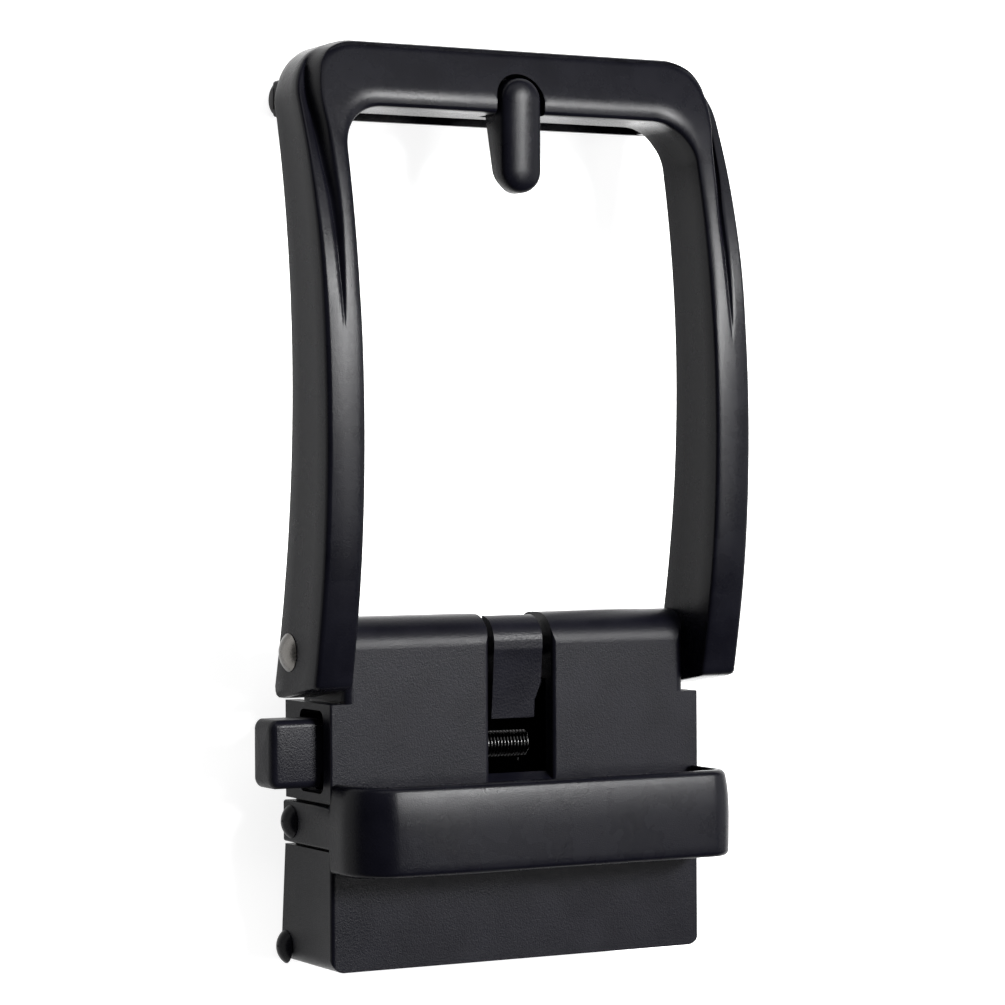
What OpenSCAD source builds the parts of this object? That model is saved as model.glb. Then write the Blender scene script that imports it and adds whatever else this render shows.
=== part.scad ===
// Ratchet belt buckle with an open frame, lying on its back.
// +X runs across the strap, +Y from the strap clamp to the crossbar, +Z out of the front.
// The origin is on the surface it lies on, under the middle of the housing. Sizes are in mm.

/* [Strap] */
// Width of the strap that the buckle takes
strap_w = 35; // [32:0.5:40]
// Play beside the strap in the housing, each side
strap_play = 0.1; // [0.05:0.05:0.4]
// Height that the mouth and the rear loop leave for the strap
strap_room = 4.4; // [4.2:0.1:4.8]

/* [Housing] */
// Length of the housing along the strap
housing_l = 31.3; // [30:0.1:36]
// Height of the housing's face over the surface it lies on
face_h = 11.2; // [10.9:0.1:12]
// Thickness of the face plate
plate_t = 1.4; // [1:0.1:1.6]
// Thickness of the side walls
wall_t = 1.4; // [1.2:0.1:2]
// Length of the narrow neck that sits between the frame's arms
neck_l = 7.6; // [7.4:0.05:8]
// How far the neck's sides are set in from the side walls
neck_in = 1.4; // [1:0.1:2]
// Depth of the neck from its front to its back
neck_d = 7; // [6.6:0.1:7.6]
// Length of the solid knuckle at the top of the neck
knuckle_l = 6; // [5.4:0.1:6.2]
// Radius of the knuckle's rounded top edges
knuckle_r = 2.8; // [2:0.1:3]
// Radius of the neck's front side edges
neck_edge_r = 0.9; // [0.4:0.1:1.3]
// Radius of the inner corners where the shoulders meet the neck
shoulder_r = 0.25; // [0.1:0.05:0.3]
// Radius of the bend along the sides of the face, below the keeper
bend_r = 0.4; // [0.2:0.1:1.2]
// Radius of the bend along the sides of the face, above the keeper
upper_bend_r = 0.2; // [0.1:0.05:0.4]
// Radius of the corners at the foot of the face
foot_r = 1.2; // [0.6:0.1:2]
// Height of the upper side walls' back edge over the surface
wall_lift = 1.8; // [1:0.1:2]
// Height of the lower side walls' back edge at the foot
foot_lift = 0.5; // [0.1:0.05:0.8]
// Width of the slot for the pawl
slot_w = 6.6; // [6.2:0.1:7]
// How far the slot's middle lies to the right of the housing's middle
slot_x = 0.2; // [-0.4:0.1:0.4]
// Length of the slope at the slot's lower end
slot_slope = 0.8; // [0.4:0.1:1.2]
// Length of the slot from the top of the housing
slot_l = 15.3; // [14.5:0.1:16]
// Radius of the slot's front edges
slot_edge_r = 0.4; // [0.2:0.1:0.8]

/* [Hinge] */
// Distance of the hinge axis below the top of the housing
hinge_drop = 3; // [2.8:0.05:3.1]
// Distance of the hinge axis behind the face
hinge_sink = 2.9; // [2.8:0.05:3.1]
// Radius of the hinge pin
pin_r = 0.85; // [0.7:0.05:1]
// Running clearance of the hinge pin in its bores
pin_play = 0.05; // [0.02:0.01:0.08]
// Radius of the hinge pin's heads
pin_head_r = 1.7; // [1.4:0.1:2]
// Height of the hinge pin's heads
pin_head_h = 0.7; // [0.5:0.05:1]
// Gap that keeps neighbouring pieces apart
seat_gap = 0.06; // [0.04:0.01:0.1]

/* [Frame] */
// Distance from the hinge axis to the crossbar's outer edge
frame_reach = 54.2; // [50:0.1:60]
// Distance that the arms reach past the hinge axis
arm_tail = 3.9; // [3.6:0.05:4]
// Angle of the arms' lower ends
tail_tilt = 8.4; // [4:0.2:10]
// Width of the bevel along the frame's outer front edges
frame_bevel = 0.45; // [0.3:0.05:1]
// Drop of the front at that bevel
frame_bevel_d = 0.2; // [0.1:0.05:0.5]
// Width of an arm seen from the front
arm_w = 3.7; // [3:0.1:5]
// Gap between the housing's neck and an arm
arm_gap = 0.35; // [0.2:0.05:0.5]
// Height of the crossbar seen from the front
crossbar_w = 6; // [5.4:0.1:7]
// Radius of the frame's outer corners
corner_out_r = 5.5; // [5:0.1:7]
// Radius of the opening's inner corners
corner_in_r = 4; // [2.5:0.1:6]
// Radius of the arch that the frame's front follows, seen from the side
arch_front_r = 100.7; // [95:0.5:120]
// Distance from the hinge axis to the front arch's crown, along the arm
crown_front_y = 19.9; // [18:0.1:22]
// Height of the front arch's crown over the hinge axis
crown_front_z = 8.35; // [7.8:0.05:8.8]
// Radius of the arch that the arms' back follows
arch_back_r = 92.4; // [88:0.5:110]
// Distance from the hinge axis to the back arch's crown, along the arm
crown_back_y = 24.25; // [22:0.1:26]
// Height of the back arch's crown over the hinge axis
crown_back_z = 0.95; // [0.85:0.05:1.4]
// Radius of the arms' rounded lower corners at the back
tail_r = 1.8; // [1.6:0.1:2]
// How far that rounding is shifted so that it meets the arched back
tail_inset = 0.15; // [0:0.05:0.3]
// Width of the recessed shoulder outside each front rail
rail_step = 1.9; // [1.2:0.1:2.3]
// Angle by which the recessed shoulder drops away from the rail
rail_drop = 4.3; // [3:0.1:6]
// Distance from the hinge axis to where rail and shoulder merge
rail_end = 28.6; // [24:0.1:34]

/* [Rear loop] */
// Thickness of the bar behind the crossbar
rear_bar_t = 2.1; // [1.8:0.1:2.4]
// Height of that bar seen from behind
rear_bar_h = 3.3; // [3:0.1:4]
// Distance of that bar's middle below the crossbar's outer edge
rear_bar_drop = 4.5; // [3.9:0.05:5.5]
// Thickness of the loop's legs
rear_leg_t = 1.75; // [1.4:0.05:2.6]
// Distance from the frame's front to the height at which the legs end inside the arms
leg_sink = 3.4; // [3:0.1:3.8]

/* [Prong] */
// Width of the prong
prong_w = 4.1; // [3.4:0.1:5]
// Length of the prong
prong_l = 10.4; // [9.4:0.1:12]
// Distance of the prong's upper end below the crossbar's outer edge
prong_drop = 2.7; // [2.3:0.05:3]
// Gap between the prong and its notch
prong_gap = 0.5; // [0.3:0.05:0.6]
// Height of the prong's front over the hinge axis
prong_front = 4.5; // [4.3:0.1:4.8]
// Height by which the prong's front is domed
prong_dome = 0.65; // [0.3:0.05:0.9]
// Depth of the prong at its root
prong_root_d = 4.2; // [4:0.1:4.6]
// Depth of the prong at its tip
prong_tip_d = 1.5; // [1.4:0.1:2.6]
// Distance from the prong's tip to where its slim end begins
prong_tip_l = 0.7; // [0.4:0.1:1.2]
// Radius of the post that fixes the prong
post_r = 0.8; // [0.6:0.05:1]

/* [Keeper] */
// Width of the keeper's band along the strap
keeper_w = 7.9; // [6.5:0.1:9]
// Distance of the band's middle above the foot of the housing
keeper_y = 12.8; // [12.2:0.05:13]
// Height of the keeper's front over the face
keeper_rise = 6.8; // [6:0.1:7.4]
// Gap between the keeper's band and the face
keeper_lift = 0.3; // [0.2:0.05:0.5]
// Thickness of the keeper
keeper_t = 1.25; // [1:0.05:1.4]
// How far the keeper stands proud of the side walls
keeper_proud = 0.3; // [0.1:0.05:0.35]
// Radius of the keeper's bends
keeper_bend_r = 3.6; // [2:0.1:4]
// Height by which the band is crowned along the strap
keeper_crown = 0.2; // [0.1:0.05:0.4]
// Width of the tabs that the keeper is riveted by
tab_w = 3.75; // [3.4:0.05:4.4]
// Gap between a tab and the edges of its recess
tab_gap = 0.25; // [0.15:0.05:0.4]
// Depth of the tabs behind the face
tab_d = 9.3; // [9:0.1:9.4]
// Thickness of the web behind each tab
web_t = 1.3; // [1:0.1:1.6]
// Distance of the web's back edge above the tab's end
web_lift = 0.2; // [0.1:0.1:0.5]
// Radius of the keeper rivets' heads
rivet_head_r = 1.5; // [1.2:0.1:1.8]
// Height of the keeper rivets' and clamp pin's heads
rivet_head_h = 0.75; // [0.5:0.05:1]
// Radius of the keeper rivets' shanks
rivet_r = 0.75; // [0.6:0.05:0.9]

/* [Release lever] */
// Distance by which the pawl's front dips towards its tip
pawl_dip = 0.6; // [0.2:0.1:0.8]
// Gap between the pawl and each side of the slot
pawl_gap = 0.8; // [0.5:0.05:1]
// How far the pawl's front is sunk behind the face
pawl_sink = 0.5; // [0.3:0.05:0.7]
// Length of the pawl from the hinge axis to its tip
pawl_l = 6.5; // [6.3:0.1:6.8]
// Thickness of the pawl's plate
pawl_t = 2.4; // [2:0.1:2.6]
// Width by which the pawl narrows towards its tip
pawl_taper = 0.6; // [0.2:0.05:0.8]
// Length of the pawl's narrow tip
pawl_tip_l = 1.6; // [1:0.1:2]
// Length over which the pawl narrows
pawl_taper_l = 1.6; // [1:0.1:2]
// How far the pawl's tip is undercut
pawl_undercut = 0.3; // [0.1:0.1:0.6]
// How far the pawl's top lies below the top of the housing
pawl_drop = 0.2; // [0.1:0.05:0.4]
// Width of the arm that leads to the button
lever_arm_w = 2.5; // [2:0.1:2.6]
// Thickness of the arm and of the stem in the window
lever_arm_t = 1.8; // [1.5:0.1:1.9]
// Gap between the arm and the face plate
lever_clear = 0.5; // [0.4:0.05:0.6]
// Length of the button along the strap
button_l = 6.1; // [5:0.1:6.5]
// Height of the button from front to back
button_h = 4.1; // [3.6:0.1:4.4]
// How far the button stands out from the side wall
button_out = 5; // [4:0.1:7]
// Radius of the button's edges
button_r = 0.8; // [0.4:0.1:1.2]
// Distance from the hinge axis to the button's upper end
button_y = 5.9; // [5.8:0.05:6.1]
// Length of the stem that passes through the window
stem_l = 4.6; // [4:0.1:4.8]
// Gap between the window and the stem's upper end
window_gap = 0.9; // [0.5:0.05:1.1]
// Length of the window in the side wall
window_l = 7.4; // [7:0.1:7.6]
// Height of the window from front to back
window_h = 4.85; // [4.7:0.05:5]
// Radius of the window's corners
window_r = 0.8; // [0.4:0.1:1.2]
// Gap between the stem's front and the window
stem_play = 0.35; // [0.25:0.05:0.4]
// How far the stem is set in from the button's upper end
stem_inset = 0.2; // [0.1:0.1:0.4]
// Gap between the button and the side wall
button_gap = 0.12; // [0.1:0.02:0.3]
// Gap between the lever's arm and the neck's side wall
lever_side_gap = 0.5; // [0.3:0.1:0.8]
// Distance that the spring's seat reaches in from the mouth's side
seat_reach = 5.1; // [4.6:0.1:5.6]

/* [Return spring] */
// Outer radius of the spring's coil
coil_r = 1.3; // [1.2:0.05:1.5]
// Radius of the spring's wire
wire_r = 0.15; // [0.12:0.01:0.16]
// Pitch of the coil
coil_pitch = 0.34; // [0.34:0.02:0.6]
// Distance of the coil's right end from the middle
coil_end = 2.1; // [1.6:0.1:2.2]
// Length of the coil
coil_l = 7; // [5:0.5:8]
// Distance of the coil's axis from the hinge axis, along the lever
coil_y = 9; // [8.7:0.1:9.2]
// Distance of the coil's axis behind the hinge axis
coil_z = 0.3; // [0.2:0.1:0.6]
// Distance of the spring's upper leg from the knuckle
spring_leg_gap = 1.1; // [0.6:0.1:1.6]
// Length by which the spring's lower leg stands out of the coil
spring_leg_l = 0.4; // [0.2:0.1:0.8]
// Radius of the post that the coil sits on
coil_post_r = 0.7; // [0.5:0.05:0.75]

/* [Strap clamp] */
// Thickness of the clamp's plate
clamp_t = 1.4; // [1.2:0.1:1.8]
// Length of the clamp from its pin to its free edge
clamp_l = 24.5; // [20:0.5:25]
// Gap between the clamp and the webs, each side
clamp_gap = 0.4; // [0.2:0.05:0.8]
// Outer radius of the clamp's rolled end
clamp_roll_r = 1.25; // [1.1:0.05:1.3]
// Radius of the clamp pin
clamp_pin_r = 0.7; // [0.6:0.05:0.8]
// Distance of the clamp pin above the foot of the housing
clamp_pin_y = 1.3; // [1.3:0.05:1.8]
// Height of the clamp pin over the surface
clamp_pin_z = 1.6; // [1.5:0.05:1.8]
// Number of teeth on the clamp's jaw
jaw_teeth = 3; // [2:1:4]
// Length of the clamp's jaw
jaw_l = 3.6; // [3:0.1:4]
// Share of a tooth's length at which its tip lies
tooth_slant = 0.7; // [0.5:0.05:0.9]
// Height of the jaw's teeth
tooth_h = 0.7; // [0.5:0.1:1]
// Distance from the clamp pin to the middle of its jaw
jaw_y = 4.2; // [3.9:0.1:4.6]

/* [Hidden] */
$fn = 96;
eps = 0.01;
black = [0.09, 0.09, 0.1];
steel = [0.62, 0.6, 0.58];
// Length of cutting bodies that reach past everything
far = 80;

// Widths, measured from the middle
mouth_half = strap_w / 2 + strap_play;
housing_half = mouth_half + wall_t;
neck_half = housing_half - neck_in;
frame_in = neck_half + arm_gap;
frame_out = frame_in + arm_w;
keeper_out = housing_half + keeper_proud;
keeper_in = keeper_out - keeper_t;
web_out = keeper_in - seat_gap;
web_in = web_out - web_t;
clamp_half = web_in - clamp_gap;
pawl_half = slot_w / 2 - pawl_gap;

// Places along the strap
top_y = housing_l / 2;
foot_y = -housing_l / 2;
shoulder_y = top_y - neck_l;
hinge_y = top_y - hinge_drop;
knuckle_y = top_y - knuckle_l;
slot_end_y = top_y - slot_l;
keeper_mid_y = foot_y + keeper_y;
pin_mid_y = foot_y + clamp_pin_y;
hub_r = hinge_sink - pawl_sink;
pawl_top = hinge_drop - pawl_drop;
crossbar_top_y = hinge_y + frame_reach;
crossbar_low_y = crossbar_top_y - crossbar_w;
rear_bar_y = crossbar_top_y - rear_bar_drop;
prong_top_y = crossbar_top_y - prong_drop;

// Heights over the surface
hinge_z = face_h - hinge_sink;
plate_in_z = face_h - plate_t;
neck_back_z = face_h - neck_d;
crossbar_back_z = rear_bar_t + strap_room;
prong_front_z = hinge_z + prong_front;
prong_back_z = prong_front_z - prong_root_d;
notch_floor_z = prong_back_z - seat_gap;
jaw_tip_z = plate_in_z - strap_room;
tab_low_z = face_h - tab_d;
rivet_z = tab_low_z + rivet_head_r;

// A rod along X, centred on the middle plane
module x_rod(r, l) {
    rotate([0, 90, 0]) cylinder(r = r, h = l, center = true);
}

// A rod along Y from y0 to y1
module y_rod(r, y0, y1) {
    translate([0, y1, 0]) rotate([90, 0, 0]) cylinder(r = r, h = y1 - y0);
}

// A box given by its lowest and highest corners
module box(low, high) {
    translate(low) cube(high - low);
}

// A block that spans -half to half, with its two front side edges rounded
module front_rounded(half, y0, y1, z0, z1, r) {
    box([-half + r, y0, z0], [half - r, y1, z1]);
    box([-half, y0, z0], [half, y1, z1 - r]);
    for (side = [-1, 1])
        translate([side * (half - r), 0, z1 - r]) y_rod(r, y0, y1);
}

// A bar along X whose Y-Z section is a rectangle with its two upper edges rounded
module top_rounded(half, y0, y1, z0, z1, r) {
    box([-half, y0, z0], [half, y1 - r, z1]);
    box([-half, y0, z0 + r], [half, y1, z1 - r]);
    for (z = [z0 + r, z1 - r])
        translate([0, y1 - r, z]) x_rod(r, 2 * half);
}

// A plate outline from y0 to y1 with its two upper corners rounded, of height h
module top_cornered(half, y0, y1, r, h) {
    box([-half, y0, 0], [half, y1 - r, h]);
    box([-half + r, y0, 0], [half - r, y1, h]);
    for (side = [-1, 1])
        translate([side * (half - r), y1 - r, 0]) cylinder(r = r, h = h);
}

// A box with every edge rounded as seen along X, Y and Z
module rounded_box(low, high, r) {
    size = high - low;
    module along_z(a, b, h) {
        translate([r, 0, 0]) cube([a - 2 * r, b, h]);
        translate([0, r, 0]) cube([a, b - 2 * r, h]);
        for (x = [r, a - r])
            for (y = [r, b - r])
                translate([x, y, 0]) cylinder(r = r, h = h);
    }
    translate(low) intersection() {
        along_z(size.x, size.y, size.z);
        translate([0, size.y, 0]) rotate([90, 0, 0]) along_z(size.x, size.z, size.y);
        multmatrix([[0, 0, 1, 0], [1, 0, 0, 0], [0, 1, 0, 0], [0, 0, 0, 1]]) along_z(size.y, size.z, size.x);
    }
}

// A domed rivet head standing on the plane x = 0 and pointing to +X
module dome_head(r, h) {
    ball_r = (r * r + h * h) / (2 * h);
    intersection() {
        translate([h - ball_r, 0, 0]) rotate([0, 90, 0]) sphere(r = ball_r);
        translate([h / 2, 0, 0]) x_rod(r, h);
    }
}

// Section of the housing as a channel: the face plate and both side walls
module housing_channel() {
    split_y = keeper_mid_y;
    difference() {
        union() {
            front_rounded(housing_half, split_y, shoulder_y, wall_lift, face_h, upper_bend_r);
            intersection() {
                front_rounded(housing_half, foot_y, split_y, 0, face_h, bend_r);
                mirror([0, 1, 0]) top_cornered(housing_half, -split_y, -foot_y, foot_r, face_h);
            }
        }
        box([-mouth_half, foot_y - 1, -1], [mouth_half, shoulder_y, plate_in_z]);
        lower_wall_slope();
    }
}

// What the sloping back edge of the lower side walls leaves open
module lower_wall_slope() {
    run = keeper_mid_y - foot_y;
    slope = atan((wall_lift - foot_lift) / run);
    translate([-far / 2, foot_y, foot_lift]) rotate([slope, 0, 0])
        translate([0, -far / 2, -far]) cube([far, far / 2 + run / cos(slope), far]);
}

// The neck with its solid knuckle round the hinge pin
module housing_neck() {
    intersection() {
        difference() {
            top_rounded(neck_half, shoulder_y - wall_t, top_y, neck_back_z, face_h, knuckle_r);
            box([-neck_half + wall_t, shoulder_y - wall_t - 1, neck_back_z - 1],
                [neck_half - wall_t, knuckle_y, plate_in_z]);
        }
        front_rounded(neck_half, shoulder_y - far, top_y + 1, 0, face_h, neck_edge_r);
    }
    for (side = [-1, 1])
        shoulder_fillet(side);
}

// The concave corner between a shoulder and the neck
module shoulder_fillet(side) {
    difference() {
        translate([side * (neck_half + shoulder_r / 2 - eps), shoulder_y + shoulder_r / 2 - eps,
                   (neck_back_z + face_h - neck_edge_r) / 2])
            cube([shoulder_r + eps, shoulder_r + eps, face_h - neck_edge_r - neck_back_z], center = true);
        translate([side * (neck_half + shoulder_r), shoulder_y + shoulder_r, 0])
            cylinder(r = shoulder_r, h = face_h);
    }
}

// The slot for the pawl, with rounded front edges and a slope at its lower end
module pawl_slot() {
    inner_y = slot_end_y + slot_slope;
    translate([slot_x, 0, 0]) {
        box([-slot_w / 2, inner_y, -1], [slot_w / 2, top_y + 1, face_h + 1]);
        rotate([90, 0, 90]) translate([0, 0, -slot_w / 2]) linear_extrude(slot_w)
            polygon([[inner_y + 1, plate_in_z], [inner_y, plate_in_z], [slot_end_y, face_h],
                     [slot_end_y, face_h + 1], [inner_y + 1, face_h + 1]]);
        for (side = [-1, 1])
            difference() {
                translate([side * (slot_w + slot_edge_r) / 2, 0, face_h - slot_edge_r])
                    box([-slot_edge_r / 2 - eps, slot_end_y, 0],
                        [slot_edge_r / 2 + eps, top_y + 1, slot_edge_r + 1]);
                translate([side * (slot_w / 2 + slot_edge_r), 0, face_h - slot_edge_r])
                    y_rod(slot_edge_r, slot_end_y - 1, top_y + 2);
            }
    }
}

// The window in the left side wall that the lever's stem passes through
module lever_window() {
    high_y = hinge_y - button_y - stem_inset + window_gap;
    front_z = plate_in_z - lever_clear + stem_play;
    r = window_r;
    translate([-housing_half - 1, high_y, front_z]) rotate([0, 90, 0])
        linear_extrude(wall_t + 2) {
            translate([r, -window_l]) square([window_h - 2 * r, window_l]);
            translate([0, -window_l + r]) square([window_h, window_l - 2 * r]);
            for (x = [r, window_h - r])
                for (y = [-window_l + r, -r])
                    translate([x, y]) circle(r = r);
        }
}

// The recess that a keeper tab lies in, on both sides
module tab_recesses() {
    half = tab_w / 2 + tab_gap;
    for (side = [-1, 1])
        translate([side * (web_out + far / 2), keeper_mid_y, face_h / 2])
            cube([far, 2 * half, far], center = true);
}

// The web behind each tab
module tab_webs() {
    half = tab_w / 2 + tab_gap + wall_t / 2;
    for (side = [-1, 1])
        translate([side * (web_in + web_t / 2), keeper_mid_y, 0])
            box([-web_t / 2, -half, tab_low_z + web_lift], [web_t / 2, half, plate_in_z + eps]);
}

module housing() {
    color(black) difference() {
        union() {
            difference() {
                housing_channel();
                tab_recesses();
            }
            housing_neck();
            tab_webs();
        }
        pawl_slot();
        lever_window();
        translate([0, hinge_y, hinge_z]) x_rod(pin_r + pin_play / 2, far);
        translate([0, keeper_mid_y, rivet_z]) x_rod(rivet_r + seat_gap / 2, far);
        translate([0, pin_mid_y, clamp_pin_z]) x_rod(clamp_pin_r + seat_gap / 2, far);
    }
}

// A cylinder along X that an arched face of the frame follows
module arch(r, crown_y, crown_z) {
    translate([0, hinge_y + crown_y, hinge_z + crown_z - r])
        rotate([0, 90, 0]) cylinder(r = r, h = far, center = true, $fn = 240);
}

// The front arch, with its side edges bevelled
module front_arch() {
    r = arch_front_r;
    flat = frame_out - frame_bevel;
    wide = frame_out + frame_bevel;
    rim = r - 2 * frame_bevel_d;
    translate([0, hinge_y + crown_front_y, hinge_z + crown_front_z - r])
        rotate([0, 90, 0]) rotate_extrude($fn = 240)
            polygon([[0, -wide], [rim, -wide], [r, -flat], [r, flat], [rim, wide], [0, wide]]);
}

// Height of the front arch at a distance from the hinge axis
function front_z(d) = hinge_z + crown_front_z - arch_front_r
    + sqrt(arch_front_r * arch_front_r - (d - crown_front_y) * (d - crown_front_y));

// What the recessed shoulders outside the rails leave open
module rail_shoulders() {
    rail_half = frame_out - rail_step;
    tip = [0, hinge_y + rail_end, front_z(rail_end)];
    difference() {
        box([-far / 2, tip.y - 3, 0], [far / 2, far, far / 2]);
        top_cornered(rail_half, 0, crossbar_top_y + 0.6, corner_out_r - 0.5, far);
        translate(tip) rotate([-rail_drop, 0, 0]) translate(-tip)
            arch(arch_front_r, crown_front_y, crown_front_z);
    }
}

// The arms and the crossbar, before their cuts
module frame_casting() {
    tail_y = hinge_y - arm_tail - tail_r;
    difference() {
        intersection() {
            top_cornered(frame_out, tail_y, crossbar_top_y, corner_out_r, far / 2);
            front_arch();
        }
        arch(arch_back_r, crown_back_y, crown_back_z);
        translate([0, 0, -1]) top_cornered(frame_in, tail_y - 1, crossbar_low_y, corner_in_r, far);
        rail_shoulders();
        tail_corners();
    }
}

// What the arms' lower ends leave open, with their rounded back corners
module tail_corners() {
    back_z = crown_back_z - arch_back_r
        + sqrt(arch_back_r * arch_back_r - pow(arm_tail + crown_back_y, 2));
    translate([0, hinge_y, hinge_z]) rotate([-tail_tilt, 0, 0]) {
        box([-far / 2, -arm_tail - far, -far / 4], [far / 2, -arm_tail, far / 4]);
        translate([0, tail_r - arm_tail, back_z + tail_r - tail_inset]) difference() {
            box([-far / 2, -tail_r - 1, -tail_r - 2], [far / 2, 0, 0]);
            x_rod(tail_r, far + 2);
        }
    }
}

// The loop behind the crossbar that guides the strap
module rear_loop() {
    half = frame_in + rear_leg_t;
    r = rear_bar_h / 2;
    leg_top_z = front_z(frame_reach - rear_bar_drop) - leg_sink;
    difference() {
        translate([0, rear_bar_y, 0]) {
            box([-half, -r, r], [half, r, leg_top_z]);
            translate([0, 0, r]) x_rod(r, 2 * half);
        }
        box([-frame_in, hinge_y, rear_bar_t], [frame_in, far, far]);
    }
}

// The space that the rear loop and the crossbar leave for the strap
module strap_channel() {
    box([-frame_in, hinge_y, rear_bar_t], [frame_in, far, crossbar_back_z]);
}

module prong_outline(half, h) {
    high_y = prong_top_y - prong_w / 2;
    low_y = prong_top_y - prong_l + prong_w / 2;
    box([-half, low_y, 0], [half, high_y, h]);
    for (y = [low_y, high_y])
        translate([0, y, 0]) cylinder(r = half, h = h);
}

module frame() {
    color(black) difference() {
        union() {
            difference() {
                frame_casting();
                strap_channel();
            }
            rear_loop();
        }
        translate([0, hinge_y, hinge_z]) x_rod(pin_r + pin_play, far);
        translate([0, 0, notch_floor_z]) prong_outline(prong_w / 2 + prong_gap, far);
        translate([0, prong_top_y - prong_w / 2, crossbar_back_z - 1])
            cylinder(r = post_r + seat_gap / 2, h = far);
    }
}

// The false prong, seated in the crossbar's notch and fixed by its post
module prong() {
    high_y = prong_top_y - prong_w / 2;
    low_y = prong_top_y - prong_l;
    half = prong_w / 2;
    dome_r = (half * half + prong_dome * prong_dome) / (2 * prong_dome);
    tip_back_z = prong_front_z - prong_dome - prong_tip_d;
    color(black) {
        difference() {
            intersection() {
                prong_outline(half, far);
                translate([0, 0, prong_front_z - dome_r]) y_rod(dome_r, low_y - 1, prong_top_y + 1);
            }
            rotate([90, 0, 90]) translate([0, 0, -far / 2]) linear_extrude(far)
                polygon([[low_y - 1, -far], [prong_top_y + 1, -far], [prong_top_y + 1, prong_back_z],
                         [crossbar_low_y - prong_tip_l, prong_back_z], [low_y + prong_tip_l, tip_back_z],
                         [low_y - 1, tip_back_z]]);
        }
        translate([0, high_y, crossbar_back_z]) cylinder(r = post_r, h = prong_back_z - crossbar_back_z + 0.5);
    }
}

// Section of the keeper's band in the X-Z plane, extruded along Y by w
module keeper_band(half, top_z, r, w) {
    box([-half, -w / 2, 0], [half, w / 2, top_z - r]);
    box([-half + r, -w / 2, 0], [half - r, w / 2, top_z]);
    for (side = [-1, 1])
        translate([side * (half - r), 0, top_z - r]) y_rod(r, -w / 2, w / 2);
}

module keeper() {
    top_z = face_h + keeper_rise;
    crown_r = (keeper_w * keeper_w / 4 + keeper_crown * keeper_crown) / (2 * keeper_crown);
    color(black) translate([0, keeper_mid_y, 0]) difference() {
        intersection() {
            keeper_band(keeper_out, top_z, keeper_bend_r, keeper_w);
            translate([0, 0, top_z - crown_r]) x_rod(crown_r, far);
            union() {
                box([-far, -keeper_w / 2, face_h + keeper_lift], [far, keeper_w / 2, far]);
                box([-far, -tab_w / 2, tab_low_z], [far, tab_w / 2, face_h + keeper_lift + eps]);
            }
        }
        translate([0, 0, -1])
            keeper_band(keeper_in, top_z - keeper_t + 1, keeper_bend_r - keeper_t, keeper_w + 2);
        translate([0, 0, rivet_z]) x_rod(rivet_r + seat_gap / 2, far);
    }
}

// Side view of the pawl, from the hinge axis: Y to the right, Z up
module pawl_profile() {
    bend = pawl_top - hub_r;
    steps = 16;
    curve = [for (i = [0:steps]) let (a = 90 * i / steps)
        [bend + (pawl_top - bend) * cos(a), hub_r * sin(a)]];
    back = hub_r - pawl_t;
    tip = [[-pawl_l, hub_r - pawl_dip], [-pawl_l + pawl_undercut, back], [0, back], [0, 0]];
    polygon(concat(curve, tip));
}

// The pawl with its hub, before the bore
module pawl() {
    narrow = pawl_half - pawl_taper;
    translate([slot_x, 0, 0]) intersection() {
        union() {
            x_rod(hub_r, 2 * pawl_half);
            rotate([90, 0, 90]) translate([0, 0, -pawl_half]) linear_extrude(2 * pawl_half) pawl_profile();
        }
        translate([0, 0, -far / 2]) linear_extrude(far)
            polygon([[-pawl_half, far], [-pawl_half, -far], [narrow, -far], [narrow, -pawl_l + pawl_tip_l],
                     [pawl_half, -pawl_l + pawl_tip_l + pawl_taper_l], [pawl_half, far]]);
    }
}

// The arm behind the face plate, the stem, the button and the spring's post
module lever_side() {
    front = hinge_sink - plate_t - lever_clear;
    back = front - lever_arm_t;
    neck_x = -neck_half + wall_t + lever_side_gap;
    pad_in = -mouth_half + seat_reach;
    high_y = -button_y - stem_inset;
    low_y = high_y - stem_l;
    arm_y = -pawl_l + stem_inset;
    cap_x = -housing_half - button_gap;
    cap_z = front + seat_gap;
    box([neck_x, arm_y, back], [0, arm_y + lever_arm_w, front]);
    box([neck_x, low_y, -coil_z - coil_post_r - seat_gap], [pad_in, arm_y + lever_arm_w, front]);
    box([cap_x - button_gap, low_y, back], [neck_x + eps, high_y - stem_play, front]);
    intersection() {
        rounded_box([-housing_half - button_out, -button_y - button_l, cap_z - button_h],
                    [cap_x + 2 * button_r, -button_y, cap_z], button_r);
        box([-far, -far, -far], [cap_x, far, far]);
    }
    translate([pad_in - eps, -coil_y, -coil_z]) rotate([0, 90, 0])
        cylinder(r = coil_post_r, h = coil_end - pad_in);
}

module release_lever() {
    color(black) translate([0, hinge_y, hinge_z]) difference() {
        union() {
            pawl();
            lever_side();
        }
        x_rod(pin_r + pin_play, 4 * pawl_half);
    }
}

// Centre line of the spring from the coil's axis: a leg, the coil's turns and the other leg
coil_mean_r = coil_r - wire_r;
coil_turns = round(coil_l / coil_pitch);
coil_steps = 12;
coil_x0 = coil_end - coil_turns * coil_pitch;
coil_line = concat(
    [[coil_x0, coil_y - knuckle_l + hinge_drop - spring_leg_gap, -coil_mean_r]],
    [for (i = [0:coil_turns * coil_steps]) let (a = 360 * i / coil_steps)
        [coil_x0 + coil_pitch * i / coil_steps, -coil_mean_r * sin(a), -coil_mean_r * cos(a)]],
    [[coil_end, -coil_r - spring_leg_l, -coil_mean_r]]);

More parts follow.
